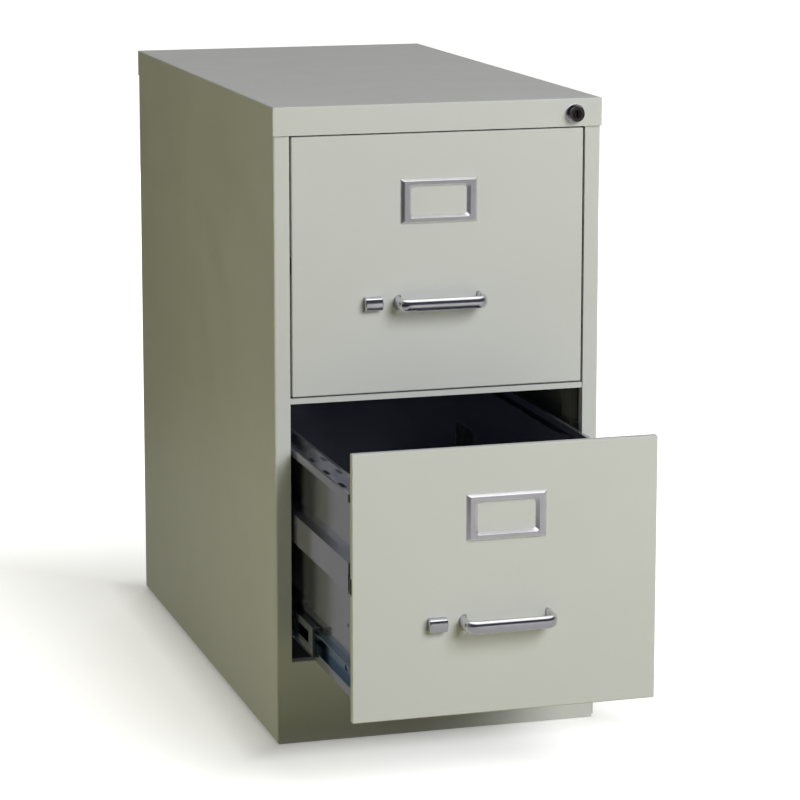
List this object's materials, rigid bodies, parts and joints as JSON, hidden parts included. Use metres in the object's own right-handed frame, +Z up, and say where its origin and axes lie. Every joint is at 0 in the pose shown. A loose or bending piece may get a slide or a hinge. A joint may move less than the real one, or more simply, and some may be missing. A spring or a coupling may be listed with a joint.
{
  "type": "filing cabinet",
  "caption": "Upright steel office filing cabinet with full-extension drawers on ball slides, thumb latches, label frames and a push-in lock.",
  "frame": {"origin": "on the floor under the middle of the case", "axes": "+X to the right facing the fronts, +Y to the back, +Z up"},
  "size_m": [0.381, 0.9809, 0.7207],
  "materials": {
    "grey_paint": "satin powder coat",
    "dark_paint": "satin",
    "zinc_sheet": "galvanised sheet",
    "zinc_steel": "bright zinc plate",
    "black_plastic": "moulded",
    "chrome": "bright chrome plate",
    "lock_metal": "worn plate"
  },
  "bodies": {
    "case": {"left_side_panel": "grey_paint", "right_side_panel": "grey_paint", "back_panel": "grey_paint", "top_cap": "grey_paint", "mid_rail": "grey_paint", "kick_plate": "grey_paint", "base_frame": "dark_paint", "front_upright_left": "dark_paint", "front_upright_right": "dark_paint", "rear_upright_left": "dark_paint", "rear_upright_right": "dark_paint", "slide_rivets": "zinc_steel", "lock_housing": "chrome", "lock_bar_guides": "dark_paint", "upper_left_outer_slide": "zinc_steel", "upper_right_outer_slide": "zinc_steel", "lower_left_outer_slide": "zinc_steel", "lower_right_outer_slide": "zinc_steel"},
    "upper_drawer": {"upper_drawer_front": "grey_paint", "upper_inner_panel": "grey_paint", "upper_left_drawer_side": "zinc_sheet", "upper_right_drawer_side": "zinc_sheet", "upper_drawer_bottom": "zinc_sheet", "upper_drawer_back": "zinc_sheet", "upper_handle": "chrome", "upper_handle_screws": "zinc_steel", "upper_label_holder": "chrome", "upper_left_inner_slide": "zinc_steel", "upper_right_inner_slide": "zinc_steel", "upper_lock_striker": "zinc_sheet"},
    "upper_middle_slides": {"upper_left_middle_slide": "zinc_steel", "upper_right_middle_slide": "zinc_steel", "upper_slide_stops": "black_plastic"},
    "upper_outer_cages": {"upper_outer_ball_cages": "zinc_steel"},
    "upper_inner_cages": {"upper_inner_ball_cages": "zinc_steel"},
    "upper_latch": {"upper_latch_button": "chrome", "upper_latch_slide": "black_plastic"},
    "lower_drawer": {"lower_drawer_front": "grey_paint", "lower_inner_panel": "grey_paint", "lower_left_drawer_side": "zinc_sheet", "lower_right_drawer_side": "zinc_sheet", "lower_drawer_bottom": "zinc_sheet", "lower_drawer_back": "zinc_sheet", "lower_handle": "chrome", "lower_handle_screws": "zinc_steel", "lower_label_holder": "chrome", "lower_left_inner_slide": "zinc_steel", "lower_right_inner_slide": "zinc_steel", "lower_lock_striker": "zinc_sheet"},
    "lower_middle_slides": {"lower_left_middle_slide": "zinc_steel", "lower_right_middle_slide": "zinc_steel", "lower_slide_stops": "black_plastic"},
    "lower_outer_cages": {"lower_outer_ball_cages": "zinc_steel"},
    "lower_inner_cages": {"lower_inner_ball_cages": "zinc_steel"},
    "lower_latch": {"lower_latch_button": "chrome", "lower_latch_slide": "black_plastic"},
    "lock_plunger": {"lock_plunger": "chrome"},
    "lock_plug": {"lock_plug": "lock_metal"},
    "lock_bar": {"lock_bar": "zinc_steel"}
  },
  "joints": [
    {"name": "upper_drawer_slide", "type": "slide", "parent": "case", "child": "upper_drawer", "axis": [0, 1, 0], "range_m": [-0.64, 0]},
    {"name": "upper_middle_slides_slide", "type": "slide", "parent": "case", "child": "upper_middle_slides", "axis": [0, 1, 0], "range_m": [-0.32, 0]},
    {"name": "upper_outer_cages_slide", "type": "slide", "parent": "case", "child": "upper_outer_cages", "axis": [0, 1, 0], "range_m": [-0.16, 0]},
    {"name": "upper_inner_cages_slide", "type": "slide", "parent": "case", "child": "upper_inner_cages", "axis": [0, 1, 0], "range_m": [-0.48, 0]},
    {"name": "upper_latch_slide", "type": "slide", "parent": "upper_drawer", "child": "upper_latch", "axis": [1, 0, 0], "range_m": [0, 0.007], "stiffness_N_per_m": 400, "springref_m": -0.004},
    {"name": "lower_drawer_slide", "type": "slide", "parent": "case", "child": "lower_drawer", "axis": [0, 1, 0], "range_m": [-0.397, 0.243]},
    {"name": "lower_middle_slides_slide", "type": "slide", "parent": "case", "child": "lower_middle_slides", "axis": [0, 1, 0], "range_m": [-0.1985, 0.1215]},
    {"name": "lower_outer_cages_slide", "type": "slide", "parent": "case", "child": "lower_outer_cages", "axis": [0, 1, 0], "range_m": [-0.09925, 0.06075]},
    {"name": "lower_inner_cages_slide", "type": "slide", "parent": "case", "child": "lower_inner_cages", "axis": [0, 1, 0], "range_m": [-0.29775, 0.18225]},
    {"name": "lower_latch_slide", "type": "slide", "parent": "lower_drawer", "child": "lower_latch", "axis": [1, 0, 0], "range_m": [0, 0.007], "stiffness_N_per_m": 400, "springref_m": -0.004},
    {"name": "lock_push", "type": "slide", "parent": "case", "child": "lock_plunger", "axis": [0, 1, 0], "range_m": [0, 0.007], "stiffness_N_per_m": 600, "springref_m": -0.008},
    {"name": "key_turn", "type": "hinge", "parent": "lock_plunger", "child": "lock_plug", "pos_m": [0.158, -0.3648, 0.7035], "axis": [0, 1, 0], "range_deg": [0, 90]},
    {"name": "lock_bar_slide", "type": "slide", "parent": "case", "child": "lock_bar", "axis": [0, 0, -1], "range_m": [0, 0.007]}
  ],
  "couplings": [
    {"joint": "upper_middle_slides_slide", "follows": "upper_drawer_slide", "ratio": 0.5},
    {"joint": "upper_outer_cages_slide", "follows": "upper_drawer_slide", "ratio": 0.25},
    {"joint": "upper_inner_cages_slide", "follows": "upper_drawer_slide", "ratio": 0.75},
    {"joint": "lower_middle_slides_slide", "follows": "lower_drawer_slide", "ratio": 0.5},
    {"joint": "lower_outer_cages_slide", "follows": "lower_drawer_slide", "ratio": 0.25},
    {"joint": "lower_inner_cages_slide", "follows": "lower_drawer_slide", "ratio": 0.75},
    {"joint": "lock_bar_slide", "follows": "lock_push", "ratio": 1}
  ]
}
